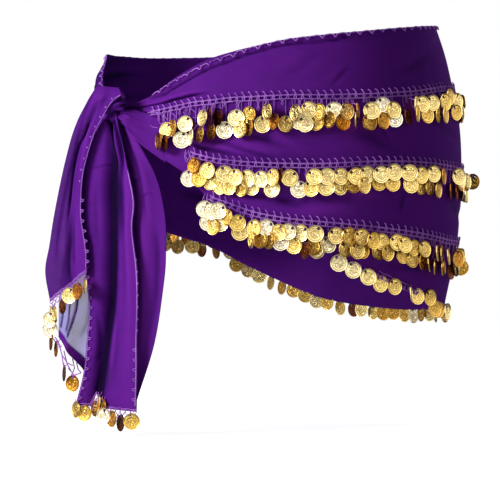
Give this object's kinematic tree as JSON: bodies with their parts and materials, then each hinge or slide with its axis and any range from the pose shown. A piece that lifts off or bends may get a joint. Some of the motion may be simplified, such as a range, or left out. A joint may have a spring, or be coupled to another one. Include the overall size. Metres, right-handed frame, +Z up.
{
  "type": "belly dance hip scarf",
  "caption": "Semi-sheer wrapped hip scarf knotted at the front, with two hanging tails and rows of small metal coins on crochet bands.",
  "frame": {"origin": "on the vertical axis of the hips that hold the scarf up, at the height of the knot", "axes": "+Z up the body, -Y to the wearer's front, +X to the wearer's left"},
  "size_m": [0.3948, 0.2934, 0.3975],
  "materials": {
    "chiffon": "semi-sheer crinkled purple chiffon",
    "crochet_thread": "light orchid crochet cotton",
    "gilt_coins": "bright pressed gilt, stamped with plain relief"
  },
  "bodies": {
    "root": {"wrap_front": "chiffon", "wrap_left_hip": "chiffon", "wrap_back": "chiffon", "wrap_right_hip": "chiffon", "knot_core": "chiffon", "knot_roll": "chiffon", "tail_outer": "chiffon", "tail_front": "chiffon", "tail_inner": "chiffon", "tail_rear": "chiffon", "coins_row_1_front": "gilt_coins", "coins_row_1_back": "gilt_coins", "coins_row_2_front": "gilt_coins", "coins_row_2_back": "gilt_coins", "coins_row_3_front": "gilt_coins", "coins_row_3_back": "gilt_coins", "coins_hem_front": "gilt_coins", "coins_hem_back": "gilt_coins", "coins_tail_outer": "gilt_coins", "coins_tail_front_left": "gilt_coins", "coins_tail_front_right": "gilt_coins", "coins_tail_rear": "gilt_coins"}
  },
  "joints": []
}
